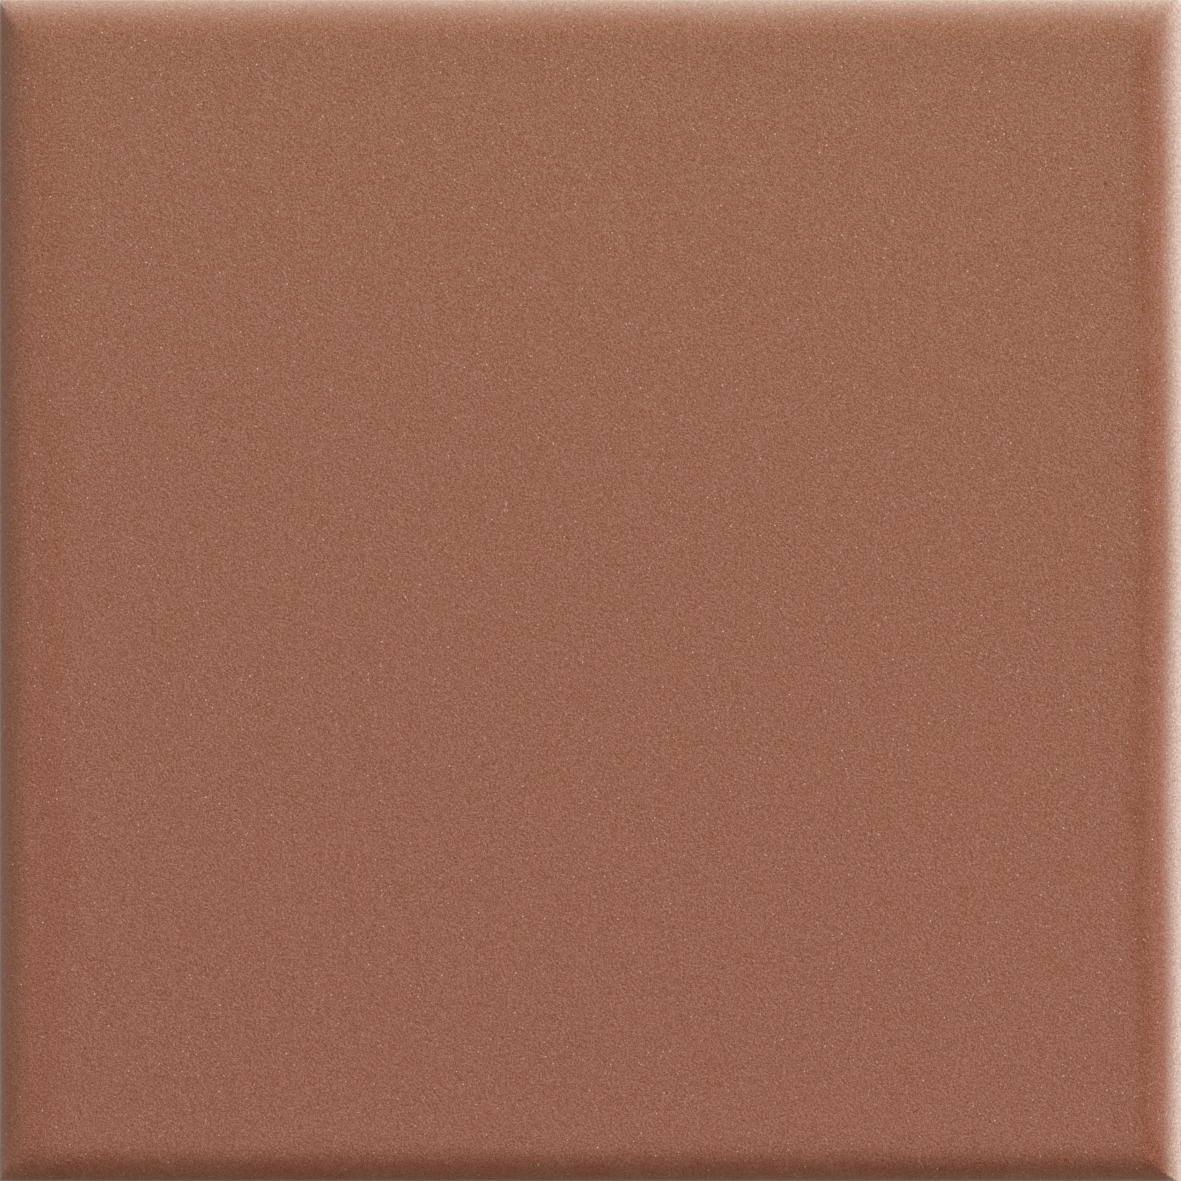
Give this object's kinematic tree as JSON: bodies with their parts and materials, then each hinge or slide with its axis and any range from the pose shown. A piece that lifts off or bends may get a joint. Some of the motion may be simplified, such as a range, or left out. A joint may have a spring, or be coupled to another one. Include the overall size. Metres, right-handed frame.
{
  "type": "ceramic wall tile",
  "caption": "Square glazed ceramic wall tile in satin-matt terracotta, with a softly rolled edge round its flat face and a keyed back for tile adhesive.",
  "frame": {"origin": "middle of the back plane, where the tile meets its adhesive bed", "axes": "+Z out of the glazed face; +X and +Y along the sides, to the right and to the top of the face as pictured"},
  "size_m": [0.1, 0.1, 0.007],
  "materials": {
    "glazed_tile": "satin"
  },
  "bodies": {
    "root": {"wall_tile": "glazed_tile"}
  },
  "joints": []
}
